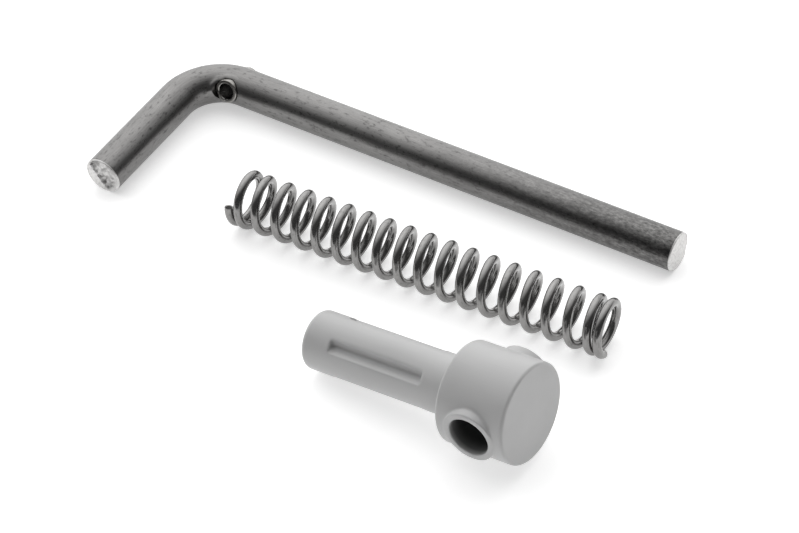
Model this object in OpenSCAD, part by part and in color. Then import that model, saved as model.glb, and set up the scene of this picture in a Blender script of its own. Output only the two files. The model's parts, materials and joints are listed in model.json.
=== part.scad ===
// Stair gate latch, as a loose set: bent bolt with its cross pin, compression spring and plastic guide bush.
// The pieces lie side by side on a flat surface. +X runs along the bolt's long leg, +Z is up.
// In use the spring and then the guide's cross bore are threaded onto the bolt's long leg.

/* [Bolt] */
// Diameter of the round steel bar
bolt_d = 8; // [6:0.5:12]
// Length of the locking leg, from the corner of the two centrelines to the tip
bolt_leg = 111.2; // [90:0.2:160]
// Length of the handle leg, from the corner of the two centrelines to its end
handle_leg = 35.8; // [26:0.2:60]
// Radius of the bend on the bar's centreline
bend_r = 10; // [8:0.5:20]
// Edge break on the two sheared ends
end_break = 0.25; // [0.1:0.05:0.6]

/* [Cross pin] */
// Outside diameter of the hollow spring pin
pin_d = 5; // [3:0.1:6]
// Wall thickness of the spring pin
pin_wall = 1; // [0.5:0.1:1.2]
// Width of the slit along the spring pin
pin_slit = 0.7; // [0.4:0.1:1.2]
// How far each end of the pin stands proud of the bar
pin_proud = 0.5; // [0.2:0.05:1.5]
// Distance of the pin from the corner of the two centrelines
pin_from_corner = 8.6; // [8:0.2:20]
// Angle of the pin out of the plane of the bend
pin_turn = 19; // [0:1:30]

/* [Spring] */
// Diameter of the spring wire
wire_d = 1.8; // [1.2:0.1:2.4]
// Radial clearance between the bolt and the inside of the spring
spring_clear = 0.1; // [0.1:0.05:0.5]
// Free length of the spring, over its outermost wire
spring_len = 82.6; // [70:0.2:110]
// Number of turns of wire, end to end
spring_turns = 19.1; // [14:0.1:22]
// Number of turns wound close at each end
closed_turns = 0.65; // [0.5:0.05:2]
// Number of turns over which the pitch opens out
opening_turns = 1; // [0.3:0.1:1]
// Gap between the closed turns
closed_gap = 0.05; // [0.05:0.01:0.3]

/* [Guide bush] */
// Diameter of the stem
stem_d = 11.6; // [9:0.1:16]
// Length of the stem, from its free end to the shoulder of the head
stem_len = 33.2; // [28:0.2:50]
// Diameter of the head
head_d = 19.6; // [17:0.2:30]
// Length of the head
head_len = 14.5; // [12.5:0.2:24]
// Wall of the collar round each mouth of the bore
collar_wall = 1.3; // [1:0.05:2]
// How far each collar face stands proud of the head
collar_proud = 0.1; // [0.1:0.05:2]
// Radial clearance between the bolt and the bore
bore_clear = 0.1; // [0.1:0.05:0.4]
// Width of the arms of the cross-shaped core that is left between the four notches
core_w = 6; // [4:0.2:8]
// Length of the four notches along the stem
notch_len = 20.7; // [10:0.1:22]
// Distance from the stem's free end to the notches
notch_from_end = 6.2; // [3:0.1:7]
// Rounding of the head's edges
head_round = 0.5; // [0.2:0.1:1]
// Rounding of the stem's free end
stem_round = 0.9; // [0.3:0.1:1.5]

/* [Layout on the surface] */
// Gap between the bolt's locking leg and the middle of the spring
spring_gap = 17.4; // [6:0.1:30]
// Distance of the spring's near end from the corner of the bolt
spring_start = 28.5; // [10:0.1:40]
// Angle of the spring to the locking leg
spring_angle = 2.3; // [-4:0.1:4]
// Gap between the middle of the spring and the guide's head
guide_gap = 11.8; // [4:0.1:30]
// Distance of the stem's free end from the corner of the bolt
guide_start = 63.7; // [30:0.1:80]
// Angle of the guide to the locking leg
guide_angle = -2; // [-6:0.1:6]
// Roll of the guide about its own axis
guide_roll = -0.2; // [-6:0.1:6]

/* [Hidden] */
$fn = 96;

// Small overlap that makes a cut run right through a face
over = 0.5;

// Bolt
bolt_r = bolt_d / 2;
pin_len = bolt_d + 2 * pin_proud;
pin_chamfer = pin_wall / 2;
// The bolt lies on its bar, or on the pin's lower end where a wider pin reaches lower
pin_drop = (pin_len / 2 - pin_chamfer) * sin(pin_turn) + pin_d / 2 * cos(pin_turn);
bolt_z = max(bolt_r, pin_drop);

// Spring
wire_r = wire_d / 2;
spring_id = bolt_d + 2 * spring_clear;
spring_od = spring_id + 2 * wire_d;
coil_r = (spring_id + wire_d) / 2;
closed_pitch = wire_d + closed_gap;
open_turns = spring_turns - 2 * closed_turns - opening_turns;
open_pitch = (spring_len - wire_d - (2 * closed_turns + opening_turns) * closed_pitch) / open_turns;
// The wire starts this far round from the top of the coil, towards the front
wire_start_angle = 74;
rings_per_turn = 16;
wire_sides = 8;
ring_count = ceil(spring_turns * rings_per_turn);

// Guide bush
bore_d = bolt_d + 2 * bore_clear;
collar_d = bore_d + 2 * collar_wall;
collar_over = head_d + 2 * collar_proud;
collar_round = 0.3;
bore_at = head_len / 2;
// The guide rests on its head's shoulder edge and on the rounded edge of its stem's free end
rest_run = stem_len + head_round - stem_round;
rest_rise = (head_d / 2 - head_round) - (stem_d / 2 - stem_round);
guide_tilt = atan(rest_rise / rest_run) + asin((head_round - stem_round) / norm([rest_run, rest_rise]));
guide_z = (head_d / 2 - head_round) * cos(guide_tilt) + head_round * (1 - sin(guide_tilt));

// Places, measured from the corner of the bolt's two centrelines
spring_mid_x = spring_start + spring_len / 2;
spring_y = -(bolt_r + spring_gap + spring_od / 2);
guide_x = guide_start + stem_len * cos(guide_tilt);
guide_y = spring_y - spring_od / 2 - guide_gap - collar_over / 2;

// The frame's origin is under the middle of the whole set
reach_x = guide_x + head_len * cos(guide_tilt) + (head_d / 2 - head_round) * sin(guide_tilt);
far_y = (bolt_r + pin_proud) * cos(pin_turn) + (pin_d - pin_chamfer) / 2 * sin(pin_turn);
near_y = guide_y - collar_over / 2 * cos(guide_angle) + bore_at * sin(guide_angle)
    - (collar_d / 2 - collar_round) * abs(sin(guide_angle));
mid_x = (max(reach_x, bolt_leg) - bolt_r) / 2;
mid_y = (far_y + near_y) / 2;

// Moves a piece from the bolt's corner to the frame of the whole set
module from_corner(x = 0, y = 0, z = 0) {
    translate([x - mid_x, y - mid_y, z]) children();
}

// Round bar along +Z from the origin, with a small edge break at its far end only
module bar_end(length) {
    cylinder(h = length - end_break, r = bolt_r);
    translate([0, 0, length - end_break])
        cylinder(h = end_break, r1 = bolt_r, r2 = bolt_r - end_break);
}

// Places the cross pin's own axis, from the bolt's corner
module at_pin() {
    translate([pin_from_corner, 0, 0])
        rotate([90 - pin_turn, 0, 0])
            children();
}

// L-shaped bolt bent from one bar, drilled through for the cross pin
module bolt_rod() {
    color("#8a8783")
        from_corner(z = bolt_z)
            difference() {
                union() {
                    translate([bend_r, 0, 0])
                        rotate([0, 90, 0])
                            bar_end(bolt_leg - bend_r);
                    translate([0, -bend_r, 0])
                        rotate([90, 0, 0])
                            bar_end(handle_leg - bend_r);
                    translate([bend_r, -bend_r, 0])
                        rotate([0, 0, 90])
                            rotate_extrude(angle = 90)
                                translate([bend_r, 0])
                                    circle(r = bolt_r);
                }
                at_pin()
                    cylinder(h = pin_len + 2 * over, d = pin_d, center = true);
            }
}

// Hollow slit spring pin, chamfered at both ends, pressed into the bolt with its slit underneath
module cross_pin() {
    color("#9b9893")
        from_corner(z = bolt_z)
            at_pin()
                difference() {
                    union() {
                        cylinder(h = pin_len - 2 * pin_chamfer, d = pin_d, center = true);
                        for (side = [0, 1])
                            mirror([0, 0, side])
                                translate([0, 0, pin_len / 2 - pin_chamfer])
                                    cylinder(h = pin_chamfer, d1 = pin_d, d2 = pin_d - pin_chamfer);
                    }
                    cylinder(h = pin_len + 2 * over, d = pin_d - 2 * pin_wall, center = true);
                    translate([0, -pin_d, 0])
                        cube([pin_slit, 2 * pin_d, pin_len + 2 * over], center = true);
                }
}

// Distance that the wire has advanced after some turns, counted from one end of the spring:
// close wound, then opening out at a steady rate up to the open pitch
function end_advance(turn) =
    let (
        into = min(max(turn - closed_turns, 0), opening_turns),
        beyond = max(turn - closed_turns - opening_turns, 0)
    )
    closed_pitch * turn + (open_pitch - closed_pitch) * (into * into / (2 * opening_turns) + beyond);

// Distance of the wire's centre from the spring's near end, alike from both ends
function advance(turn) =
    wire_r + (turn < spring_turns / 2
        ? end_advance(turn)
        : spring_len - wire_d - end_advance(spring_turns - turn));

// One point of the wire's skin: the coil runs along +X, right-handed
function wire_point(turn, side) =
    let (
        coil_angle = wire_start_angle + 360 * turn,
        side_angle = 360 * side / wire_sides,
        from_axis = coil_r + wire_r * cos(side_angle)
    )
    [
        advance(turn) + wire_r * sin(side_angle),
        -from_axis * sin(coil_angle),
        from_axis * cos(coil_angle)
    ];

// Closed-ended compression spring, wound from one length of round wire
module compression_spring() {
    points = [
        for (ring = [0:ring_count], side = [0:wire_sides - 1])
            wire_point(spring_turns * ring / ring_count, side)
    ];
    walls = [
        for (ring = [0:ring_count - 1], side = [0:wire_sides - 1])
            let (
                here = ring * wire_sides,
                next = here + wire_sides,
                other = (side + 1) % wire_sides
            )
            each [
                [here + side, here + other, next + side],
                [here + other, next + other, next + side]
            ]
    ];
    near_end = [for (side = [wire_sides - 1:-1:0]) side];
    far_end = [for (side = [0:wire_sides - 1]) ring_count * wire_sides + side];
    color("#86837f")
        from_corner(spring_mid_x, spring_y, spring_od / 2)
            rotate([0, 0, spring_angle])
                translate([-spring_len / 2, 0, 0])
                    polyhedron(points = points, faces = concat(walls, [near_end, far_end]), convexity = 10);
}

// Cylinder along +X from the origin, with both end edges rounded
module rounded_drum(length, radius, near_round, far_round) {
    rotate([0, 90, 0])
        rotate_extrude() {
            square([radius - max(near_round, far_round), length]);
            translate([0, near_round])
                square([radius, length - near_round - far_round]);
            square([radius - near_round, length / 2]);
            translate([0, length / 2])
                square([radius - far_round, length / 2]);
            translate([radius - near_round, near_round])
                circle(r = near_round);
            translate([radius - far_round, length - far_round])
                circle(r = far_round);
        }
}

// One of the four corner notches that leave a cross-shaped core in the stem
module stem_notch(side_y, side_z) {
    depth = stem_d / 2;
    mirror([0, side_y, 0])
        mirror([0, 0, side_z])
            translate([notch_from_end - stem_len, core_w / 2, core_w / 2])
                cube([notch_len, depth, depth]);
}

// Moulded guide bush: a notched stem, and a drum head with a collared bore across it
module guide_bush() {
    color("#c9c9c7")
        from_corner(guide_x, guide_y, guide_z)
            rotate([0, 0, guide_angle])
                rotate([0, -guide_tilt, 0])
                    rotate([guide_roll, 0, 0])
                        difference() {
                            union() {
                                translate([-stem_len, 0, 0])
                                    rounded_drum(stem_len + bore_at, stem_d / 2, stem_round, head_round);
                                rounded_drum(head_len, head_d / 2, head_round, head_round);
                                translate([bore_at, -collar_over / 2, 0])
                                    rotate([0, 0, 90])
                                        rounded_drum(collar_over, collar_d / 2, collar_round, collar_round);
                            }
                            for (side_y = [0, 1], side_z = [0, 1])
                                stem_notch(side_y, side_z);
                            translate([bore_at, 0, 0])
                                rotate([90, 0, 0])
                                    cylinder(h = collar_over + 2 * over, d = bore_d, center = true);
                        }
}

bolt_rod();
cross_pin();
compression_spring();
guide_bush();
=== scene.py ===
"""Stair gate latch, laid out as a loose set: bent bolt, cross pin, compression spring and guide bush.

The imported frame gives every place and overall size. The pieces that show are built round it, in metres.
"""

import json
import math

import bmesh
import bpy
from bpy.props import FloatProperty, FloatVectorProperty, IntProperty, PointerProperty
from mathutils import Matrix, Vector, noise


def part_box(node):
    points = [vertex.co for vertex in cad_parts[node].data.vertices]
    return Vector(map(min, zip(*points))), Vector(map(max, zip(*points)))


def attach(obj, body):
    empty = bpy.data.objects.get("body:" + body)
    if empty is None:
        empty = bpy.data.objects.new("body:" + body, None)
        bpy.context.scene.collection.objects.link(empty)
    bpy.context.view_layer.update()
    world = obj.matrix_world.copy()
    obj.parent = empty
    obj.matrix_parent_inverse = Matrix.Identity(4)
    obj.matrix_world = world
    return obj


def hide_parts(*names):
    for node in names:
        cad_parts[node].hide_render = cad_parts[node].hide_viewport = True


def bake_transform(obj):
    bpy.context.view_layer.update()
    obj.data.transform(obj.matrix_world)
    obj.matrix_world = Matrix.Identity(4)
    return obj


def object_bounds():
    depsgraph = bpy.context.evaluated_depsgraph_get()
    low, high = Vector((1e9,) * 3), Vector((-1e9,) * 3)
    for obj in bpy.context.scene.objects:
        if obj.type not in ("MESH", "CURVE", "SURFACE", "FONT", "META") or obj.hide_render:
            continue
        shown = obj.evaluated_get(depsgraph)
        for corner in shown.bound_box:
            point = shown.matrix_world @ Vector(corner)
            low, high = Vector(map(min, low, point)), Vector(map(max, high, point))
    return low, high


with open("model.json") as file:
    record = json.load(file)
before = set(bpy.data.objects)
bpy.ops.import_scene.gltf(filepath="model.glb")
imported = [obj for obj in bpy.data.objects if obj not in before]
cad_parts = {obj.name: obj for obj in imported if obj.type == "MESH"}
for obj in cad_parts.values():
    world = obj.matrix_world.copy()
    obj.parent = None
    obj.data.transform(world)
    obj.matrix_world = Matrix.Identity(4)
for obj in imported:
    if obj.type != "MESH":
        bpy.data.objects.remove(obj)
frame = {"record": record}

bl_info = {
    "name": "Stair Gate Latch Set",
    "version": (1, 0, 0),
    "blender": (4, 5, 0),
    "location": "View3D > Sidebar > Gate Latch",
    "description": "Builds a sprung stair gate bolt with its cross pin, spring and guide bush",
    "category": "Add Mesh",
}

MM = 0.001
CAD_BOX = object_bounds()
ROD_LOW, ROD_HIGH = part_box("bolt_rod")
PIN_LOW, PIN_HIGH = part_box("cross_pin")
COIL_LOW, COIL_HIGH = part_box("compression_spring")
MOUNTS = {mount["name"]: mount for mount in frame["record"]["mounts"]}

BAR_RADIUS = (ROD_HIGH.z - ROD_LOW.z) / 2
# Where the centrelines of the bolt's two legs would cross
CORNER = Vector((ROD_LOW.x + BAR_RADIUS, ROD_HIGH.y - BAR_RADIUS, ROD_LOW.z + BAR_RADIUS))
# Edges that turn more than this are shaded sharp
SHARP_ANGLE = math.radians(40)
# Steps in a rounded edge
ROUND_STEPS = 6
# The Mix node's sockets for colours: its factor, first and second colour, and its result
MIX_FACTOR, MIX_FIRST, MIX_SECOND, MIX_RESULT = 0, 6, 7, 2
# The second of the two materials of the bolt and the spring, for their cut ends
CUT_ENDS = 1
SENSOR_WIDTH_MM = 36


def linear(hex_colour):
    """Linear colour of an sRGB hex value."""
    parts = [int(hex_colour[place:place + 2], 16) / 255 for place in (1, 3, 5)]
    return [part / 12.92 if part <= 0.04045 else ((part + 0.055) / 1.055) ** 2.4 for part in parts]


class BoltSizes(bpy.types.PropertyGroup):
    """Sizes of the bent bolt."""

    bend_radius: FloatProperty(
        name="Bend radius", description="Radius of the bend on the bar's centreline",
        default=10 * MM, min=8 * MM, max=20 * MM, unit="LENGTH", subtype="DISTANCE", precision=4)
    edge_break: FloatProperty(
        name="Edge break", description="Rounding of the sheared ends' rims",
        default=0.3 * MM, min=0.1 * MM, max=0.6 * MM, unit="LENGTH", subtype="DISTANCE", precision=5)
    shear_step: FloatProperty(
        name="Shear step", description="Height of the ledge that the shear left on the handle's end",
        default=0.55 * MM, min=0, max=0.8 * MM, unit="LENGTH", subtype="DISTANCE", precision=5)
    lip_height: FloatProperty(
        name="Lip height", description="Height of the metal pushed up round the mouths of the pin's hole",
        default=0.45 * MM, min=0, max=0.6 * MM, unit="LENGTH", subtype="DISTANCE", precision=5)
    hole_gap: FloatProperty(
        name="Hole gap", description="Radial gap round the pin in its hole",
        default=0.1 * MM, min=0, max=0.3 * MM, unit="LENGTH", subtype="DISTANCE", precision=5)


class PinSizes(bpy.types.PropertyGroup):
    """Sizes of the hollow cross pin."""

    diameter: FloatProperty(
        name="Diameter", description="Outside diameter of the spring pin",
        default=5 * MM, min=3 * MM, max=6 * MM, unit="LENGTH", subtype="DISTANCE", precision=4)
    length: FloatProperty(
        name="Length", description="Length of the spring pin",
        default=9 * MM, min=8 * MM, max=11 * MM, unit="LENGTH", subtype="DISTANCE", precision=4)
    wall: FloatProperty(
        name="Wall", description="Thickness of the rolled strip",
        default=0.8 * MM, min=0.5 * MM, max=1.2 * MM, unit="LENGTH", subtype="DISTANCE", precision=4)
    slit: FloatProperty(
        name="Slit", description="Width of the slit along the pin",
        default=0.7 * MM, min=0.4 * MM, max=1.2 * MM, unit="LENGTH", subtype="DISTANCE", precision=4)
    turn: FloatProperty(
        name="Turn", description="Angle of the pin out of the plane of the bend",
        default=math.radians(19), min=0, max=math.radians(30), subtype="ANGLE")


class SpringSizes(bpy.types.PropertyGroup):
    """Sizes of the compression spring."""

    wire: FloatProperty(
        name="Wire", description="Diameter of the spring wire",
        default=1.8 * MM, min=1.2 * MM, max=2.4 * MM, unit="LENGTH", subtype="DISTANCE", precision=4)
    free_length: FloatProperty(
        name="Free length", description="Length of the spring over its outermost wire",
        default=82.6 * MM, min=70 * MM, max=110 * MM, unit="LENGTH", subtype="DISTANCE", precision=4)
    turns: FloatProperty(
        name="Turns", description="Turns of wire, end to end", default=19.1, min=14, max=22)
    closed_turns: FloatProperty(
        name="Closed turns", description="Turns wound close at each end", default=0.65, min=0.5, max=2)
    opening_turns: FloatProperty(
        name="Opening turns", description="Turns over which the pitch opens out", default=1, min=0.3, max=1)
    tail_turns: FloatProperty(
        name="Tail", description="Part of a turn that the far end of the wire runs on, lying flat",
        default=0.1, min=0.05, max=0.2)
    closed_gap: FloatProperty(
        name="Closed gap", description="Gap between the closed turns",
        default=0.05 * MM, min=0.05 * MM, max=0.3 * MM, unit="LENGTH", subtype="DISTANCE", precision=5)
    wire_start: FloatProperty(
        name="Wire start", description="Where the wire starts, from the top of the coil towards the front",
        default=math.radians(74), subtype="ANGLE")
    lie: FloatProperty(
        name="Lie", description="Angle of the spring to the bolt's locking leg",
        default=math.radians(2.3), subtype="ANGLE")


class GuideSizes(bpy.types.PropertyGroup):
    """Sizes of the moulded guide bush."""

    head_diameter: FloatProperty(
        name="Head diameter", description="Diameter of the drum head",
        default=19.6 * MM, min=17 * MM, max=30 * MM, unit="LENGTH", subtype="DISTANCE", precision=4)
    head_length: FloatProperty(
        name="Head length", description="Length of the drum head",
        default=14.5 * MM, min=12.5 * MM, max=24 * MM, unit="LENGTH", subtype="DISTANCE", precision=4)
    stem_length: FloatProperty(
        name="Stem length", description="Length of the stem up to the head's shoulder",
        default=33.2 * MM, min=28 * MM, max=50 * MM, unit="LENGTH", subtype="DISTANCE", precision=4)
    collar_wall: FloatProperty(
        name="Collar wall", description="Wall of the collar round each mouth of the bore",
        default=1.3 * MM, min=1 * MM, max=2 * MM, unit="LENGTH", subtype="DISTANCE", precision=4)
    core_width: FloatProperty(
        name="Core width", description="Width of the arms of the cross-shaped core between the notches",
        default=6 * MM, min=4 * MM, max=8 * MM, unit="LENGTH", subtype="DISTANCE", precision=4)
    notch_length: FloatProperty(
        name="Notch length", description="Length of the four notches along the stem",
        default=20.7 * MM, min=10 * MM, max=22 * MM, unit="LENGTH", subtype="DISTANCE", precision=4)
    notch_from_end: FloatProperty(
        name="Notch from end", description="Distance from the stem's free end to the notches",
        default=6.2 * MM, min=3 * MM, max=7 * MM, unit="LENGTH", subtype="DISTANCE", precision=4)
    head_round: FloatProperty(
        name="Head rounding", description="Rounding of the head's edges",
        default=0.5 * MM, min=0.2 * MM, max=1 * MM, unit="LENGTH", subtype="DISTANCE", precision=4)
    stem_round: FloatProperty(
        name="Stem rounding", description="Rounding of the stem's free end",
        default=0.9 * MM, min=0.3 * MM, max=1.5 * MM, unit="LENGTH", subtype="DISTANCE", precision=4)
    collar_round: FloatProperty(
        name="Collar rounding", description="Rounding of the collars' edges",
        default=0.15 * MM, min=0.05 * MM, max=0.5 * MM, unit="LENGTH", subtype="DISTANCE", precision=5)
    mould_grain: FloatProperty(
        name="Mould grain", description="Spacing of the mesh that carries the mould's soft edges",
        default=0.2 * MM, min=0.15 * MM, max=0.6 * MM, unit="LENGTH", subtype="DISTANCE", precision=5)
    softening: IntProperty(
        name="Softening", description="Smoothing passes that round the moulded edges",
        default=1, min=0, max=10)


class Finishes(bpy.types.PropertyGroup):
    """Colours of the metals, the plastic and the floor, and where along the bar its scale is dark."""

    bar_steel: FloatVectorProperty(
        name="Bar steel", description="Colour of the drawn bar",
        default=linear("#838281"), subtype="COLOR", size=3, min=0, max=1)
    scale_from: FloatProperty(
        name="Scale from", description="Where the bar's dark scale sets in, along it from its bend",
        default=55 * MM, min=0, unit="LENGTH", subtype="DISTANCE", precision=4)
    scale_full: FloatProperty(
        name="Scale full", description="Where the bar's dark scale is full, along it from its bend",
        default=112 * MM, min=0, unit="LENGTH", subtype="DISTANCE", precision=4)
    sheared_steel: FloatVectorProperty(
        name="Sheared steel", description="Colour of the freshly sheared ends",
        default=linear("#dbdad9"), subtype="COLOR", size=3, min=0, max=1)
    wire_steel: FloatVectorProperty(
        name="Spring wire", description="Colour of the drawn spring wire",
        default=linear("#8e8d8c"), subtype="COLOR", size=3, min=0, max=1)
    cropped_steel: FloatVectorProperty(
        name="Cropped wire", description="Colour of the spring wire's cropped ends",
        default=linear("#2e2d2c"), subtype="COLOR", size=3, min=0, max=1)
    strip_steel: FloatVectorProperty(
        name="Rolled strip", description="Colour of the spring pin",
        default=linear("#9c9a97"), subtype="COLOR", size=3, min=0, max=1)
    guide_plastic: FloatVectorProperty(
        name="Guide plastic", description="Colour of the moulded guide",
        default=linear("#b9b9b9"), subtype="COLOR", size=3, min=0, max=1)
    floor: FloatVectorProperty(
        name="Floor", description="Colour of the floor",
        default=linear("#f6f6f6"), subtype="COLOR", size=3, min=0, max=1)
    floor_glow: FloatProperty(
        name="Floor glow", description="Light that comes up through the floor", default=0.5, min=0, max=2)


class StageSizes(bpy.types.PropertyGroup):
    """The camera, the floor's width and the light."""

    azimuth: FloatProperty(
        name="Azimuth", description="Camera's angle round the set, from the front towards the tip",
        default=math.radians(35.495), subtype="ANGLE")
    elevation: FloatProperty(
        name="Elevation", description="Camera's angle above the floor",
        default=math.radians(44.899), subtype="ANGLE")
    roll: FloatProperty(
        name="Roll", description="Camera's roll about its line of sight",
        default=math.radians(-4.909), subtype="ANGLE")
    distance: FloatProperty(
        name="Distance", description="Distance from the camera to its aim",
        default=0.56008, min=0.2, max=3, unit="LENGTH", subtype="DISTANCE")
    lens: FloatProperty(
        name="Lens", description="Focal length for a sensor 36 mm wide, in millimetres",
        default=129.88, min=20, max=300)
    aim: FloatVectorProperty(
        name="Aim", description="Camera's aim on the floor, from the bolt's corner",
        default=(0.063712, -0.025691), size=2, unit="LENGTH", subtype="XYZ")
    floor_width: FloatProperty(
        name="Floor width", description="Width of the floor",
        default=3, min=1, max=10, unit="LENGTH", subtype="DISTANCE")
    light_azimuth: FloatProperty(
        name="Light azimuth", description="Where the bright sweep has its middle, round from the front",
        default=math.radians(-140), subtype="ANGLE")
    light_elevation: FloatProperty(
        name="Light elevation", description="How high the bright sweep has its middle",
        default=math.radians(39), subtype="ANGLE")
    light: FloatProperty(
        name="Light strength", description="Brightness of the middle of the sweep",
        default=2.05, min=0, max=10)


class GateLatch(bpy.types.PropertyGroup):
    """Everything that can be set about the latch and its stage."""

    bolt: PointerProperty(type=BoltSizes)
    pin: PointerProperty(type=PinSizes)
    spring: PointerProperty(type=SpringSizes)
    guide: PointerProperty(type=GuideSizes)
    finishes: PointerProperty(type=Finishes)
    stage: PointerProperty(type=StageSizes)


# Materials


def add_node(tree, kind, links=None, **settings):
    """Adds a node. Settings are its properties, and links gives each of its inputs a value or the socket
    that it comes from."""
    node = tree.nodes.new(kind)
    for name, value in settings.items():
        setattr(node, name, value)
    for name, value in (links or {}).items():
        if isinstance(value, bpy.types.NodeSocket):
            tree.links.new(value, node.inputs[name])
        else:
            node.inputs[name].default_value = value
    return node


def start_material(name):
    """A new node material and its empty node tree."""
    material = bpy.data.materials.new(name)
    material.use_nodes = True
    material.node_tree.nodes.clear()
    return material, material.node_tree


def set_stops(ramp_node, stops):
    """Sets a colour ramp's stops from (position, grey) pairs."""
    ramp = ramp_node.color_ramp
    while len(ramp.elements) < len(stops):
        ramp.elements.new(1)
    for element, (position, grey) in zip(ramp.elements, stops):
        element.position = position
        element.color = (grey, grey, grey, 1)


def per_metre(*spacings_mm):
    """Pattern scales that repeat at these spacings in millimetres."""
    return [1000 / spacing for spacing in spacings_mm]


def noise_pattern(tree, place, spacings_mm, detail, roughness=0.5, rotation=(0, 0, 0)):
    """A noise with its lumps at these spacings in millimetres, as the output of its node."""
    spaced = add_node(tree, "ShaderNodeMapping", {
        "Vector": place, "Rotation": rotation, "Scale": per_metre(*spacings_mm)})
    pattern = add_node(tree, "ShaderNodeTexNoise", {
        "Vector": spaced.outputs[0], "Scale": 1, "Detail": detail, "Roughness": roughness})
    return pattern.outputs[0]


def noise_tone(tree, place, spacings_mm, stops, detail=4, roughness=0.6):
    """A noise pattern and the greys that its stops give it, as the outputs of two nodes."""
    pattern = noise_pattern(tree, place, spacings_mm, detail, roughness)
    tone = add_node(tree, "ShaderNodeValToRGB", {"Fac": pattern})
    set_stops(tone, stops)
    return pattern, tone.outputs[0]


def toned(tree, colour, *tones):
    """A colour darkened by tones, one after the other, as the output of the last node."""
    darkened = (*colour, 1)
    for tone in tones:
        mixed = add_node(
            tree, "ShaderNodeMix", {MIX_FACTOR: 1, MIX_FIRST: darkened, MIX_SECOND: tone},
            data_type="RGBA", blend_type="MULTIPLY")
        darkened = mixed.outputs[MIX_RESULT]
    return darkened


def between(tree, share, first, second):
    """The first tone where share is 0 and the second where it is 1, as the output of a node."""
    mixed = add_node(
        tree, "ShaderNodeMix", {MIX_FACTOR: share, MIX_FIRST: first, MIX_SECOND: second},
        data_type="RGBA", blend_type="MIX")
    return mixed.outputs[MIX_RESULT]


def drawn_bar_steel(finishes):
    """Cold-drawn mild steel bar, as it left the mill: the die leaves long streaks and the scale small pits,
    so the grey is uneven. Towards the bolt's tip a mottled dark scale is left on it."""
    material, tree = start_material("cold_drawn_mild_steel")
    place = add_node(tree, "ShaderNodeAttribute", attribute_name="straight_bar").outputs["Vector"]
    # Streaks are drawn 0.25 mm apart, coarser than the die's own marks, so that they show
    streaks, streak_tone = noise_tone(tree, place, (4, 0.25, 0.25), [(0.3, 0.78), (0.65, 1)])
    stains, stain_tone = noise_tone(
        tree, place, (1.3, 0.6, 0.6), [(0.34, 0.5), (0.45, 1)], detail=6, roughness=0.65)
    _, broad_tone = noise_tone(tree, place, (18, 5, 5), [(0.3, 0.84), (0.7, 1.04)], detail=2)
    _, scale_tone = noise_tone(
        tree, place, (1.1, 0.55, 0.55), [(0.36, 0.28), (0.52, 0.66), (0.63, 1)], detail=6, roughness=0.75)
    along = add_node(tree, "ShaderNodeSeparateXYZ", {"Vector": place}).outputs["X"]
    scaled = add_node(tree, "ShaderNodeMapRange", {
        "Value": along, "From Min": finishes.scale_from, "From Max": finishes.scale_full})
    skin_tone = between(tree, scaled.outputs[0], stain_tone, scale_tone)
    colour = toned(tree, finishes.bar_steel, streak_tone, broad_tone, skin_tone)
    # The bar is shinier where it is stained less
    roughness = add_node(tree, "ShaderNodeMapRange", {
        "Value": stains, "From Min": 0.3, "From Max": 0.7, "To Min": 0.36, "To Max": 0.26})
    drawn = add_node(tree, "ShaderNodeBump", {"Height": streaks, "Strength": 0.4, "Distance": 0.012 * MM})
    pitted = add_node(tree, "ShaderNodeBump", {
        "Height": stain_tone, "Strength": 0.5, "Distance": 0.012 * MM, "Normal": drawn.outputs[0]})
    steel = add_node(tree, "ShaderNodeBsdfPrincipled", {
        "Base Color": colour, "Metallic": 1, "Roughness": roughness.outputs[0],
        "Normal": pitted.outputs[0]})
    add_node(tree, "ShaderNodeOutputMaterial", {"Surface": steel.outputs[0]})
    return material


def sheared_steel(finishes):
    """Freshly sheared mild steel: torn grain and fine slanting scores, bright, with no scale on it."""
    material, tree = start_material("sheared_mild_steel")
    place = add_node(tree, "ShaderNodeTexCoord").outputs["Object"]
    grain, smooth_tone = noise_tone(
        tree, place, (0.5, 0.5, 0.5), [(0.32, 0.7), (0.55, 1)], detail=5, roughness=0.65)
    _, torn_tone = noise_tone(
        tree, place, (1.2, 1.2, 1.2), [(0.38, 0.45), (0.5, 0.7), (0.62, 0.95)], detail=5, roughness=0.6)
    torn_share = add_node(tree, "ShaderNodeAttribute", attribute_name="torn").outputs["Fac"]
    tone = between(tree, torn_share, smooth_tone, torn_tone)
    # The scores are drawn 0.14 mm apart, coarser than the blade's own, so that they show
    slant = (math.radians(50), 0, math.radians(20))
    scores = noise_pattern(tree, place, (2.5, 0.14, 2.5), detail=3, rotation=slant)
    scored = add_node(tree, "ShaderNodeBump", {"Height": scores, "Strength": 0.5, "Distance": 0.03 * MM})
    torn = add_node(tree, "ShaderNodeBump", {
        "Height": grain, "Strength": 0.6, "Distance": 0.08 * MM, "Normal": scored.outputs[0]})
    steel = add_node(tree, "ShaderNodeBsdfPrincipled", {
        "Base Color": toned(tree, finishes.sheared_steel, tone), "Metallic": 1, "Roughness": 0.5,
        "Normal": torn.outputs[0]})
    add_node(tree, "ShaderNodeOutputMaterial", {"Surface": steel.outputs[0]})
    return material


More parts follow.
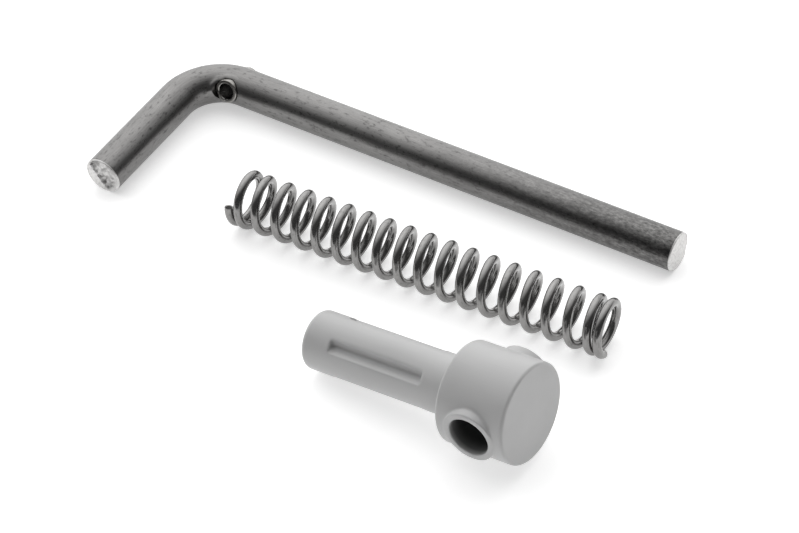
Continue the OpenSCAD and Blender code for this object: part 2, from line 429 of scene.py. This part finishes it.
def spring_wire(finishes):
    """Hard-drawn spring wire: smooth from the die, so its reflections are crisp, with faint marks along it
    and a little dirt."""
    material, tree = start_material("hard_drawn_spring_wire")
    place = add_node(tree, "ShaderNodeAttribute", attribute_name="straight_wire").outputs["Vector"]
    # The marks are drawn 0.2 mm apart, coarser than the die's own, so that they show
    marks, mark_tone = noise_tone(tree, place, (9, 0.2, 0.2), [(0.3, 0.8), (0.65, 1)])
    dirt, dirt_tone = noise_tone(tree, place, (0.8, 0.4, 0.4), [(0.34, 0.75), (0.46, 1)])
    drawn = add_node(tree, "ShaderNodeBump", {"Height": marks, "Strength": 0.4, "Distance": 0.012 * MM})
    roughness = add_node(tree, "ShaderNodeMapRange", {
        "Value": dirt, "From Min": 0.3, "From Max": 0.7, "To Min": 0.24, "To Max": 0.15})
    steel = add_node(tree, "ShaderNodeBsdfPrincipled", {
        "Base Color": toned(tree, finishes.wire_steel, mark_tone, dirt_tone), "Metallic": 1,
        "Roughness": roughness.outputs[0], "Normal": drawn.outputs[0]})
    add_node(tree, "ShaderNodeOutputMaterial", {"Surface": steel.outputs[0]})
    return material


def cropped_wire(finishes):
    """Spring wire's cropped end: crushed by the cutter, so it is dull, and dirt in it makes it dark."""
    material, tree = start_material("cropped_spring_wire")
    place = add_node(tree, "ShaderNodeTexCoord").outputs["Object"]
    _, tone = noise_tone(tree, place, (0.4, 0.4, 0.4), [(0.3, 0.6), (0.6, 1)])
    steel = add_node(tree, "ShaderNodeBsdfPrincipled", {
        "Base Color": toned(tree, finishes.cropped_steel, tone), "Metallic": 1, "Roughness": 0.45})
    add_node(tree, "ShaderNodeOutputMaterial", {"Surface": steel.outputs[0]})
    return material


def painted_shade_tone(tree, half_way, deepest):
    """The greys of painted shade where a mesh is marked as lying deep in a hollow, half and fully."""
    painted_hollow_shade = add_node(tree, "ShaderNodeAttribute", attribute_name="painted_hollow_shade").outputs["Fac"]
    tone = add_node(tree, "ShaderNodeValToRGB", {"Fac": painted_hollow_shade})
    set_stops(tone, [(0, 1), (0.4, half_way), (1, deepest)])
    return tone.outputs[0]


def rolled_strip_steel(finishes):
    """Hardened strip rolled into a spring pin and tumbled: smooth, with small knocks, and painted shade
    that darkens its hollow.
    """
    material, tree = start_material("rolled_spring_steel_strip")
    place = add_node(tree, "ShaderNodeTexCoord").outputs["Object"]
    knocks, tone = noise_tone(tree, place, (0.6, 0.6, 0.6), [(0.3, 0.7), (0.6, 1)])
    # Painted shade darkens the pin's hollow, to nearly black deep inside
    colour = toned(tree, finishes.strip_steel, tone, painted_shade_tone(tree, half_way=0.35, deepest=0.01))
    knocked = add_node(tree, "ShaderNodeBump", {"Height": knocks, "Strength": 0.5, "Distance": 0.04 * MM})
    steel = add_node(tree, "ShaderNodeBsdfPrincipled", {
        "Base Color": colour, "Metallic": 1, "Roughness": 0.27, "Normal": knocked.outputs[0]})
    add_node(tree, "ShaderNodeOutputMaterial", {"Surface": steel.outputs[0]})
    return material


def moulded_plastic(finishes):
    """Injection-moulded grey nylon: a fine-eroded mould leaves a satin skin with the faintest grain, and
    a little light goes in and softens the edges. Painted shade blackens the bore, darker the deeper in it."""
    material, tree = start_material("moulded_grey_nylon")
    place = add_node(tree, "ShaderNodeTexCoord").outputs["Object"]
    # The eroded grain is drawn 0.35 mm apart, coarser than the mould's own, so that it shows
    grain = noise_pattern(tree, place, (0.35, 0.35, 0.35), detail=3)
    eroded = add_node(tree, "ShaderNodeBump", {"Height": grain, "Strength": 0.25, "Distance": 0.02 * MM})
    flow, flow_tone = noise_tone(tree, place, (12, 6, 6), [(0.3, 0.96), (0.7, 1)], detail=2, roughness=0.5)
    # Painted shade darkens the bore, the more the deeper in it
    colour = toned(tree, finishes.guide_plastic, flow_tone, painted_shade_tone(tree, half_way=0.3, deepest=0.1))
    roughness = add_node(tree, "ShaderNodeMapRange", {
        "Value": flow, "From Min": 0.3, "From Max": 0.7, "To Min": 0.42, "To Max": 0.36})
    plastic = add_node(tree, "ShaderNodeBsdfPrincipled", {
        "Base Color": colour, "Roughness": roughness.outputs[0], "IOR": 1.53,
        "Subsurface Weight": 0.15, "Subsurface Radius": (1, 1, 1), "Subsurface Scale": 0.6 * MM,
        "Normal": eroded.outputs[0]})
    add_node(tree, "ShaderNodeOutputMaterial", {"Surface": plastic.outputs[0]})
    return material


def matt_floor(finishes):
    """Opal acrylic sheet, sanded matt on top and lit a little from below: it is pale and even, and its
    shadows are soft."""
    material, tree = start_material("sanded_opal_acrylic")
    sheet = add_node(tree, "ShaderNodeBsdfPrincipled", {
        "Base Color": (*finishes.floor, 1), "Roughness": 0.9, "Specular IOR Level": 0.1,
        "Emission Color": (*finishes.floor, 1), "Emission Strength": finishes.floor_glow})
    add_node(tree, "ShaderNodeOutputMaterial", {"Surface": sheet.outputs[0]})
    return material


# Shapes


def make_object(bm, name, materials=()):
    """A smooth-shaded object made from a bmesh, which it uses up."""
    mesh = bpy.data.meshes.new(name)
    bm.to_mesh(mesh)
    bm.free()
    mesh.shade_smooth()
    for material in materials:
        mesh.materials.append(material)
    piece = bpy.data.objects.new(name, mesh)
    bpy.context.scene.collection.objects.link(piece)
    return piece


def evaluated(bm, kind, tool=None, **settings):
    """The bmesh that one modifier makes of bm. Uses up bm, and the tool where there is one."""
    piece = make_object(bm, "unfinished")
    modifier = piece.modifiers.new(kind.title(), kind)
    for name, value in settings.items():
        setattr(modifier, name, value)
    helper = None
    if tool is not None:
        helper = make_object(tool, "tool")
        modifier.object = helper
    result = bmesh.new()
    result.from_object(piece, bpy.context.evaluated_depsgraph_get())
    for used in filter(None, (piece, helper)):
        mesh = used.data
        bpy.data.objects.remove(used)
        bpy.data.meshes.remove(mesh)
    return result


def boolean(bm, tool, operation):
    """bm joined with or cut by tool."""
    return evaluated(bm, "BOOLEAN", tool, operation=operation, solver="EXACT")


def drum(length, radius, turn, start, rounds=(0, 0), segments=96):
    """Closed cylinder of that length from start along the turned Z axis, its end edges rounded."""
    bm = bmesh.new()
    bmesh.ops.create_cone(
        bm, cap_ends=True, segments=segments, radius1=radius, radius2=radius, depth=length,
        matrix=Matrix.Translation((0, 0, length / 2)))
    for side, rounding in enumerate(rounds):
        if rounding:
            level = length * side
            on_level = {vert for vert in bm.verts if abs(vert.co.z - level) < rounding / 100}
            rim = [edge for edge in bm.edges if on_level.issuperset(edge.verts)]
            bmesh.ops.bevel(
                bm, geom=rim, offset=rounding, offset_type="OFFSET", segments=ROUND_STEPS, profile=0.5,
                affect="EDGES", material=-1)
    bmesh.ops.transform(bm, matrix=Matrix.Translation(start) @ turn, verts=bm.verts)
    return bm


def last_edges(made):
    """The edges among the geometry that an extrusion or a spin made last."""
    return [part for part in made if isinstance(part, bmesh.types.BMEdge)]


def extruded_ring(bm, edges):
    """Extrudes a ring of edges in place and returns the new ring."""
    made = last_edges(bmesh.ops.extrude_edge_only(bm, edges=edges)["geom"])
    return [edge for edge in made if len(edge.link_faces) == 1]


def run_on(bm, edges, move, steps):
    """Extrudes a ring of edges along move in equal steps, and returns the last ring."""
    for _ in range(steps):
        edges = extruded_ring(bm, edges)
        bmesh.ops.translate(bm, vec=move / steps, verts=ring_verts(edges))
    return edges


def ring_verts(edges):
    """The vertices of a ring of edges."""
    return list({vert for edge in edges for vert in edge.verts})


def close_end(bm, edges, centre, outward, edge_break, rings):
    """Rounds a bar's rim and closes its end with concentric rings, and returns the end's vertices."""
    radius = max((vert.co - centre).length for vert in ring_verts(edges))
    rim_steps = 4
    made = []
    for step in range(1, rim_steps + rings):
        edges = extruded_ring(bm, edges)
        if step <= rim_steps:
            angle = math.pi / 2 * step / rim_steps
            share = (radius - edge_break * (1 - math.cos(angle))) / radius
            level = edge_break * math.sin(angle)
        else:
            share = (radius - edge_break) / radius * (1 - (step - rim_steps) / rings)
            level = edge_break
        for vert in ring_verts(edges):
            spoke = vert.co - centre
            spoke -= outward * spoke.dot(outward)
            vert.co = centre + spoke.normalized() * radius * share + outward * level
        made += ring_verts(edges)
    fan = bmesh.ops.edgeloop_fill(bm, edges=edges)["faces"]
    middle = bmesh.ops.poke(bm, faces=fan)["verts"]
    return made + middle


def smooth_step(value, low, high):
    """0 below low, 1 above high and smooth between them."""
    share = min(max((value - low) / (high - low), 0), 1)
    return share * share * (3 - 2 * share)


def bar_place(place, sizes):
    """Where a point from the bolt's corner lies on the straightened bar: along it, and across it."""
    bend = sizes.bend_radius
    quarter = bend * math.pi / 2
    if place.x < bend and place.y > -bend:
        spoke = Vector((place.x - bend, place.y + bend))
        angle = math.atan2(spoke.y, -spoke.x)
        return Vector((quarter * angle / (math.pi / 2), spoke.length - bend, place.z))
    if place.y <= -bend:
        return Vector((place.y + bend, -place.x, place.z))
    return Vector((quarter + place.x - bend, place.y, place.z))


def pin_axis(sizes):
    """Middle and direction of the cross pin, from the bolt's corner, pointing at its near end."""
    middle = (PIN_LOW + PIN_HIGH) / 2 - CORNER
    return middle, Vector((0, -math.cos(sizes.turn), math.sin(sizes.turn)))


def raise_lips(bm, bolt, pin):
    """Pushes up the bar's skin round the two mouths of the pin's hole, most on the bend's side."""
    middle, axis = pin_axis(pin)
    hole = pin.diameter / 2 + bolt.hole_gap
    # From the hole's edge: how far the lip reaches, its crest and its spread; then the size of its lumps
    reach, crest, spread, lump = 2 * MM, 0.25 * MM, 0.55 * MM, 1.1 * MM
    # Shares of the full height: all round, and what is added towards the bend and towards the top
    all_round, at_bend, at_top = 0.55, 0.35, 0.2
    for vert in bm.verts:
        offset = vert.co - middle
        along = offset.dot(axis)
        if abs(along) < BAR_RADIUS / 2:
            continue
        across = offset - axis * along
        past = across.length - hole
        if past < reach:
            outward = across.normalized()
            share = all_round - at_bend * outward.x + at_top * outward.z
            ridge = math.exp(-((past - crest) / spread) ** 2) if past > 0 else 1
            uneven = 0.8 + 0.5 * noise.noise(vert.co / lump)
            vert.co += axis * math.copysign(bolt.lip_height * ridge * share * uneven, along)


def shear_handle_end(verts, bolt, centre):
    """Leaves the handle's end as a shear does: a raised smooth crescent, then a torn, sunken face
    that runs out to the rim in a long scoop on its far side."""
    # Across the end face: to the scoop, to the crescent, and along the ledge between face and crescent
    to_scoop = Vector((0.75, 0, -0.66))
    to_crescent = Vector((-0.83, 0, -0.56))
    along_ledge = Vector((0.56, 0, -0.83))
    rim_flat, ledge_foot, ledge_top = 0.15 * MM, 1.15 * MM, 1.4 * MM
    ragged_depth, ragged_size = 0.12 * MM, 0.8 * MM
    torn_depth, torn_size = 0.3 * MM, 1.6 * MM
    fineness, growth, octaves = 0.9, 2.1, 4
    for vert in verts:
        flat = vert.co - centre
        from_rim = BAR_RADIUS - math.hypot(flat.x, flat.z)
        scoop = max(flat.dot(to_scoop), 0) / BAR_RADIUS
        run_out = (0.6 + 1.3 * scoop ** 2) * MM
        rim = smooth_step(from_rim, rim_flat, run_out)
        ragged = ragged_depth * noise.noise(Vector((flat.dot(along_ledge) / ragged_size, 0, 0)))
        sunk = 1 - smooth_step(flat.dot(to_crescent) + ragged, ledge_foot, ledge_top)
        torn = torn_depth * noise.fractal(vert.co / torn_size, fineness, growth, octaves)
        vert.co.y += sunk * rim * max(bolt.shear_step + torn, 0)


def shear_tip(verts, centre):
    """Leaves the tip's end nearly flat and a little uneven, sloping away at its far rim."""
    slope_depth = 0.25 * MM
    uneven_depth, uneven_size = 0.03 * MM, 0.9 * MM
    for vert in verts:
        flat = vert.co - centre
        rim = smooth_step(BAR_RADIUS - math.hypot(flat.y, flat.z), 0.05 * MM, 0.5 * MM)
        slope = slope_depth * smooth_step(flat.y, 0.6 * BAR_RADIUS, 0.95 * BAR_RADIUS)
        vert.co.x -= slope + rim * uneven_depth * (1 + noise.noise(vert.co / uneven_size))


def bolt_shape(settings):
    """The bent bar from its corner, with its two sheared ends, pin hole and raised lips."""
    bolt, pin = settings.bolt, settings.pin
    bend = bolt.bend_radius
    handle = CORNER.y - ROD_LOW.y
    locking = ROD_HIGH.x - CORNER.x
    around, bend_steps, steps_per_mm = 80, 40, 1.5
    handle_rings, tip_rings = 26, 20
    bm = bmesh.new()
    start = Vector((0, -handle + bolt.edge_break, 0))
    turn = Matrix.Rotation(math.pi / 2, 4, "X")
    bmesh.ops.create_circle(
        bm, segments=around, radius=BAR_RADIUS, matrix=Matrix.Translation(start) @ turn)
    handle_rim = list(bm.edges)
    straight = handle - bend - bolt.edge_break
    ring = run_on(bm, handle_rim, Vector((0, straight, 0)), round(straight / MM * steps_per_mm))
    spun = bmesh.ops.spin(
        bm, geom=ring + ring_verts(ring), cent=(bend, -bend, 0), axis=(0, 0, -1), angle=math.pi / 2,
        steps=bend_steps)
    ring = last_edges(spun["geom_last"])
    straight = locking - bend - bolt.edge_break
    tip_rim = run_on(bm, ring, Vector((straight, 0, 0)), round(straight / MM * steps_per_mm))

    tip = Vector((locking - bolt.edge_break, 0, 0))
    handle_end = close_end(bm, handle_rim, start, Vector((0, -1, 0)), bolt.edge_break, handle_rings)
    tip_end = close_end(bm, tip_rim, tip, Vector((1, 0, 0)), bolt.edge_break, tip_rings)
    shear_handle_end(handle_end, bolt, start)
    shear_tip(tip_end, tip)
    sheared = {face for vert in handle_end + tip_end for face in vert.link_faces}
    for face in sheared:
        face.material_index = CUT_ENDS
    raise_lips(bm, bolt, pin)
    bmesh.ops.recalc_face_normals(bm, faces=bm.faces)

    overcut = 2 * MM
    length = pin.length + 2 * overcut
    hole = drum(length, pin.diameter / 2 + bolt.hole_gap, Matrix(), (0, 0, -length / 2), segments=64)
    bmesh.ops.transform(hole, verts=hole.verts, matrix=pin_turned(pin))
    return boolean(bm, hole, "DIFFERENCE")


def mark_bar(bm, bolt):
    """Gives each vertex its place on the straightened bar, and marks the torn part of the handle's end."""
    straight = bm.verts.layers.float_vector.new("straight_bar")
    torn = bm.verts.layers.float.new("torn")
    handle_end = ROD_LOW.y - CORNER.y
    for vert in bm.verts:
        vert[straight] = bar_place(vert.co, bolt)
        if math.hypot(vert.co.x, vert.co.z) < 0.95 * BAR_RADIUS:
            vert[torn] = smooth_step(vert.co.y - handle_end, 0.25 * MM, 0.5 * MM)


def pin_turned(pin):
    """The matrix to the bolt's corner from the pin's own axes, +Z along it and +X along the locking leg."""
    middle, axis = pin_axis(pin)
    along_leg = Vector((1, 0, 0))
    turned = Matrix((along_leg, axis.cross(along_leg), axis)).transposed().to_4x4()
    return Matrix.Translation(middle) @ turned


def pin_shape(pin):
    """The hollow pin: its strip's section, rounded at the ends, spun round and left open at the slit."""
    outer = pin.diameter / 2
    along_steps, around_steps = 24, 64
    # Depths from the pin's ends where the painted shade in its hollow starts and where it is full
    unshaded_depth, full_shade_depth = 1.1 * MM, 3.4 * MM
    bm = bmesh.new()
    bmesh.ops.create_grid(bm, x_segments=1, y_segments=along_steps, size=0.5)
    corners = [vert for vert in bm.verts if len(vert.link_edges) == 2]
    bmesh.ops.transform(bm, verts=bm.verts, matrix=(
        Matrix.Translation((outer - pin.wall / 2, 0, 0))
        @ Matrix.Rotation(math.pi / 2, 4, "X")
        @ Matrix.Diagonal((pin.wall, pin.length, 1, 1))))
    bmesh.ops.bevel(
        bm, geom=corners, offset=0.3 * pin.wall, offset_type="OFFSET", segments=ROUND_STEPS, profile=0.5,
        affect="VERTICES", material=-1)
    # The slit is underneath
    half_slit = math.asin(pin.slit / 2 / outer)
    bmesh.ops.rotate(
        bm, verts=bm.verts, cent=(0, 0, 0), matrix=Matrix.Rotation(half_slit - math.pi / 2, 3, "Z"))
    bmesh.ops.spin(
        bm, geom=bm.faces[:] + bm.edges[:] + bm.verts[:], cent=(0, 0, 0), axis=(0, 0, 1),
        angle=2 * (math.pi - half_slit), steps=around_steps)
    bmesh.ops.remove_doubles(bm, verts=bm.verts, dist=0.001 * MM)
    bmesh.ops.recalc_face_normals(bm, faces=bm.faces)
    # Painted shade: the hollow's inner wall is marked darker the deeper it lies from the pin's ends
    painted_hollow_shade = bm.verts.layers.float.new("painted_hollow_shade")
    hollow_reach = outer - 0.9 * pin.wall
    for vert in bm.verts:
        if math.hypot(vert.co.x, vert.co.y) < hollow_reach:
            vert[painted_hollow_shade] = smooth_step(pin.length / 2 - abs(vert.co.z), unshaded_depth, full_shade_depth)
    bmesh.ops.transform(bm, verts=bm.verts, matrix=pin_turned(pin))
    return bm


def spring_stages(spring):
    """The winding, as (turns, pitch) from end to end: closed, opening out, open, and alike back."""
    closed = spring.wire + spring.closed_gap
    opening_steps = 12
    open_turns = spring.turns - 2 * spring.closed_turns - spring.opening_turns
    room = spring.free_length - spring.wire
    pitch = (room - (2 * spring.closed_turns + spring.opening_turns) * closed) / open_turns
    opening = [
        (spring.opening_turns / opening_steps, closed + (pitch - closed) * (step + 0.5) / opening_steps)
        for step in range(opening_steps)]
    middle_turns = spring.turns - 2 * (spring.closed_turns + spring.opening_turns)
    return [(spring.closed_turns, closed), *opening, (middle_turns, pitch), *opening[::-1],
            (spring.closed_turns, closed)]


def spring_shape(spring):
    """The wound wire, along +X from its near end. Each vertex keeps its place on the straightened wire."""
    coil = (COIL_HIGH.z - COIL_LOW.z - spring.wire) / 2
    wire_sides, steps_per_turn = 20, 60
    bm = bmesh.new()
    straight = bm.verts.layers.float_vector.new("straight_wire")
    bmesh.ops.create_circle(bm, segments=wire_sides, radius=spring.wire / 2, matrix=(
        Matrix.Translation((spring.wire / 2, 0, 0))
        @ Matrix.Rotation(spring.wire_start, 4, "X")
        @ Matrix.Translation((0, 0, coil))
        @ Matrix.Rotation(math.pi / 2, 4, "X")))
    near_rim = bm.edges[:]
    ring = near_rim
    for turns, pitch in [*spring_stages(spring), (spring.tail_turns, 0)]:
        steps = max(1, round(turns * steps_per_turn))
        spun = bmesh.ops.spin(
            bm, geom=ring + ring_verts(ring), cent=(0, 0, 0), axis=(1, 0, 0), angle=2 * math.pi * turns,
            dvec=(pitch * turns / steps, 0, 0), steps=steps)
        ring = last_edges(spun["geom_last"])
    ends = [bmesh.ops.edgeloop_fill(bm, edges=rim)["faces"][0] for rim in (near_rim, ring)]
    bmesh.ops.inset_individual(bm, faces=ends, thickness=0.1 * spring.wire, depth=0.06 * spring.wire)
    for face in ends:
        face.material_index = CUT_ENDS
    bmesh.ops.recalc_face_normals(bm, faces=bm.faces)
    wire_length = 2 * math.pi * coil
    for vert in bm.verts:
        angle = math.atan2(-vert.co.y, vert.co.z) - spring.wire_start
        offset = math.hypot(vert.co.y, vert.co.z) - coil
        turn = angle / (2 * math.pi)
        turn += round(turn_at(vert.co.x, spring) - turn)
        vert[straight] = (turn * wire_length, offset, vert.co.x - advance_at(turn, spring))
    return bm


def advance_at(turn, spring):
    """How far along the spring the wire's middle lies after some turns."""
    place = spring.wire / 2
    for turns, pitch in spring_stages(spring):
        part = min(max(turn, 0), turns)
        place += part * pitch
        turn -= turns
    return place


def turn_at(place, spring):
    """After how many turns the wire's middle has come to a place along the spring."""
    reached = spring.wire / 2
    turn = 0
    for turns, pitch in spring_stages(spring):
        part = min(max((place - reached) / pitch, 0), turns)
        turn += part
        reached += turns * pitch
    return turn


def guide_place():
    """The matrix from the guide's own axes to the frame: +X out of the head, from its outer face."""
    face = MOUNTS["guide_face"]
    along = Vector(face["axis"])
    across = -Vector(MOUNTS["guide_bore"]["axis"])
    up = along.cross(across)
    place = Matrix((along, across, up)).transposed().to_4x4()
    place.translation = Vector(face["pos_m"])
    return place


def guide_shape(guide):
    """The guide on its own axes, from the head's outer face: head, stem and collars joined, then cut."""
    stem_radius = MOUNTS["guide_stem"]["dims"]["r_mm"] * MM
    bore = MOUNTS["guide_bore"]["dims"]
    bore_radius = bore["r_mm"] * MM
    collars_width = bore["length_mm"] * MM
    overcut = 1 * MM
    to_x = Matrix.Rotation(math.pi / 2, 4, "Y")
    to_y = Matrix.Rotation(-math.pi / 2, 4, "X")
    shoulder = -guide.head_length
    end = shoulder - guide.stem_length
    middle = shoulder / 2

    head = drum(
        guide.head_length, guide.head_diameter / 2, to_x, (shoulder, 0, 0),
        (guide.head_round, guide.head_round))
    stem = drum(guide.stem_length - middle, stem_radius, to_x, (end, 0, 0), (guide.stem_round, 0))
    collars = drum(
        collars_width, bore_radius + guide.collar_wall, to_y, (middle, -collars_width / 2, 0),
        (guide.collar_round, guide.collar_round))
    shape = boolean(boolean(head, stem, "UNION"), collars, "UNION")

    depth = stem_radius
    notch_x = end + guide.notch_from_end + guide.notch_length / 2
    from_axis = (guide.core_width + depth) / 2
    for side_y in (-1, 1):
        for side_z in (-1, 1):
            notch = bmesh.new()
            bmesh.ops.create_cube(notch, size=1, matrix=(
                Matrix.Translation((notch_x, side_y * from_axis, side_z * from_axis))
                @ Matrix.Diagonal((guide.notch_length, depth, depth, 1))))
            shape = boolean(shape, notch, "DIFFERENCE")
    start = (middle, -collars_width / 2 - overcut, 0)
    bore_cut = drum(collars_width + 2 * overcut, bore_radius, to_y, start)
    return boolean(shape, bore_cut, "DIFFERENCE")


def paint_bore_shade(bm, guide):
    """Marks painted shade on the bore's wall, darker the deeper in it lies, on the guide's own axes."""
    painted_hollow_shade = bm.verts.layers.float.new("painted_hollow_shade")
    bore = MOUNTS["guide_bore"]["dims"]
    wall_reach = (bore["r_mm"] + 0.2) * MM
    # The painted shade begins a little outside the mouth, so that the mouth's edge has some
    bore_shade_begins, bore_shade_full = -0.5 * MM, 3.5 * MM
    for vert in bm.verts:
        if math.hypot(vert.co.x + guide.head_length / 2, vert.co.z) < wall_reach:
            depth = bore["length_mm"] * MM / 2 - abs(vert.co.y)
            vert[painted_hollow_shade] = smooth_step(depth, bore_shade_begins, bore_shade_full)


# Operators


class LatchOperator:
    """What the operators share."""

    bl_options = {"REGISTER", "UNDO"}

    @classmethod
    def poll(cls, context):
        return context.scene is not None


class LATCH_OT_bolt(LatchOperator, bpy.types.Operator):
    """Build the bent bolt with its sheared ends and pin hole"""

    bl_idname = "latch.bolt"
    bl_label = "Bent Bolt"

    def execute(self, context):
        settings = context.scene.gate_latch
        bm = bolt_shape(settings)
        mark_bar(bm, settings.bolt)
        bmesh.ops.translate(bm, verts=bm.verts, vec=CORNER)
        finishes = settings.finishes
        bolt = make_object(bm, "bolt", (drawn_bar_steel(finishes), sheared_steel(finishes)))
        bolt.data.set_sharp_from_angle(angle=SHARP_ANGLE)
        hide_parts("bolt_rod")
        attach(bolt, "bolt")
        return {"FINISHED"}


class LATCH_OT_cross_pin(LatchOperator, bpy.types.Operator):
    """Build the hollow slit pin that crosses the bolt"""

    bl_idname = "latch.cross_pin"
    bl_label = "Cross Pin"

    def execute(self, context):
        settings = context.scene.gate_latch
        bm = pin_shape(settings.pin)
        bmesh.ops.translate(bm, verts=bm.verts, vec=CORNER)
        pin = make_object(bm, "spring_pin", (rolled_strip_steel(settings.finishes),))
        pin.data.set_sharp_from_angle(angle=SHARP_ANGLE)
        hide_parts("cross_pin")
        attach(pin, "bolt")
        return {"FINISHED"}


class LATCH_OT_spring(LatchOperator, bpy.types.Operator):
    """Wind the compression spring"""

    bl_idname = "latch.spring"
    bl_label = "Compression Spring"

    def execute(self, context):
        settings = context.scene.gate_latch
        spring = settings.spring
        bm = spring_shape(spring)
        half = spring.free_length / 2
        middle = (COIL_LOW + COIL_HIGH) / 2
        lie = Matrix.Rotation(spring.lie, 4, "Z")
        place = Matrix.Translation(middle) @ lie @ Matrix.Translation((-half, 0, 0))
        bmesh.ops.transform(bm, verts=bm.verts, matrix=place)
        finishes = settings.finishes
        wound = make_object(bm, "spring", (spring_wire(finishes), cropped_wire(finishes)))
        wound.data.set_sharp_from_angle(angle=SHARP_ANGLE)
        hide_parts("compression_spring")
        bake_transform(wound)
        return {"FINISHED"}


class LATCH_OT_guide(LatchOperator, bpy.types.Operator):
    """Mould the guide bush"""

    bl_idname = "latch.guide"
    bl_label = "Guide Bush"

    def execute(self, context):
        settings = context.scene.gate_latch
        guide = settings.guide
        bm = evaluated(guide_shape(guide), "REMESH", mode="VOXEL", voxel_size=guide.mould_grain)
        for _ in range(guide.softening):
            bmesh.ops.smooth_vert(
                bm, verts=bm.verts, factor=0.5, use_axis_x=True, use_axis_y=True, use_axis_z=True)
        # Painted shade on the bore's wall, darker deeper in
        paint_bore_shade(bm, guide)
        bmesh.ops.transform(bm, verts=bm.verts, matrix=guide_place())
        moulded = make_object(bm, "guide_moulding", (moulded_plastic(settings.finishes),))
        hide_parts("guide_bush")
        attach(moulded, "guide")
        return {"FINISHED"}


class LATCH_OT_stage(LatchOperator, bpy.types.Operator):
    """Set up the floor, the soft light and the camera"""

    bl_idname = "latch.stage"
    bl_label = "Stage"

    def execute(self, context):
        settings = context.scene.gate_latch
        stage = settings.stage
        floor_level = CAD_BOX[0].z
        lay_floor(settings.finishes, stage.floor_width, floor_level)
        light_studio(context.scene, stage)
        place_camera(context.scene, stage, floor_level)
        context.scene.view_settings.view_transform = "Standard"
        return {"FINISHED"}


def lay_floor(finishes, width, level):
    """A pale floor far wider than the set."""
    bm = bmesh.new()
    bmesh.ops.create_grid(
        bm, x_segments=1, y_segments=1, size=width / 2, matrix=Matrix.Translation((0, 0, level)))
    floor = make_object(bm, "floor", (matt_floor(finishes),))


def direction_at(azimuth, elevation):
    """The direction at an angle round from the front towards the tip, and an angle above the floor."""
    flat = math.cos(elevation)
    return Vector((math.sin(azimuth) * flat, -math.cos(azimuth) * flat, math.sin(elevation)))


def light_studio(scene, stage):
    """A soft studio: a bright sweep that fades away from its middle, and a dark room on the other side."""
    world = bpy.data.worlds.new("soft_sweep")
    world.use_nodes = True
    tree = world.node_tree
    tree.nodes.clear()
    direction = add_node(tree, "ShaderNodeTexCoord").outputs["Generated"]
    middle = direction_at(stage.light_azimuth, stage.light_elevation)
    towards = add_node(tree, "ShaderNodeVectorMath", {0: direction, 1: middle}, operation="DOT_PRODUCT")
    sweep = add_node(tree, "ShaderNodeValToRGB", {"Fac": towards.outputs["Value"]})
    # Brightness by the cosine of the angle from the sweep's middle
    set_stops(sweep, [(0, 0.05), (0.14, 0.055), (0.32, 0.22), (0.65, 0.58), (1, 1)])
    background = add_node(tree, "ShaderNodeBackground", {
        "Color": sweep.outputs[0], "Strength": stage.light})
    add_node(tree, "ShaderNodeOutputWorld", {"Surface": background.outputs[0]})
    scene.world = world


def place_camera(scene, stage, level):
    """The camera looks at its aim from its azimuth and elevation, rolled about its line of sight."""
    back = direction_at(stage.azimuth, stage.elevation)
    aim = Vector((CORNER.x + stage.aim[0], CORNER.y + stage.aim[1], level))
    right = Vector((0, 0, 1)).cross(back).normalized()
    level_view = Matrix((right, back.cross(right), back)).transposed().to_4x4()
    data = bpy.data.cameras.new("camera")
    data.lens = stage.lens
    data.sensor_width = SENSOR_WIDTH_MM
    camera = bpy.data.objects.new("camera", data)
    camera.matrix_world = (
        Matrix.Translation(aim + back * stage.distance) @ level_view @ Matrix.Rotation(stage.roll, 4, "Z"))
    scene.collection.objects.link(camera)
    scene.camera = camera


class LATCH_PT_panel(bpy.types.Panel):
    """The latch's sizes, colours and builders"""

    bl_idname = "LATCH_PT_panel"
    bl_label = "Gate Latch"
    bl_space_type = "VIEW_3D"
    bl_region_type = "UI"
    bl_category = "Gate Latch"

    def draw(self, context):
        settings = context.scene.gate_latch
        rows = (
            (settings.bolt, "latch.bolt"),
            (settings.pin, "latch.cross_pin"),
            (settings.spring, "latch.spring"),
            (settings.guide, "latch.guide"),
            (settings.finishes, None),
            (settings.stage, "latch.stage"),
        )
        for group, builder in rows:
            box = self.layout.box()
            for name in group.__annotations__:
                box.prop(group, name)
            if builder:
                box.operator(builder)


CLASSES = (
    BoltSizes, PinSizes, SpringSizes, GuideSizes, Finishes, StageSizes, GateLatch,
    LATCH_OT_bolt, LATCH_OT_cross_pin, LATCH_OT_spring, LATCH_OT_guide, LATCH_OT_stage, LATCH_PT_panel,
)


def register():
    """Registers the classes and hangs the settings on the scene."""
    for kind in CLASSES:
        bpy.utils.register_class(kind)
    bpy.types.Scene.gate_latch = PointerProperty(type=GateLatch)


def unregister():
    """Takes back what register did."""
    del bpy.types.Scene.gate_latch
    for kind in reversed(CLASSES):
        bpy.utils.unregister_class(kind)


def main():
    register()
    bpy.ops.latch.bolt()
    bpy.ops.latch.cross_pin()
    bpy.ops.latch.spring()
    bpy.ops.latch.guide()
    bpy.ops.latch.stage()


if __name__ == "__main__":
    main()
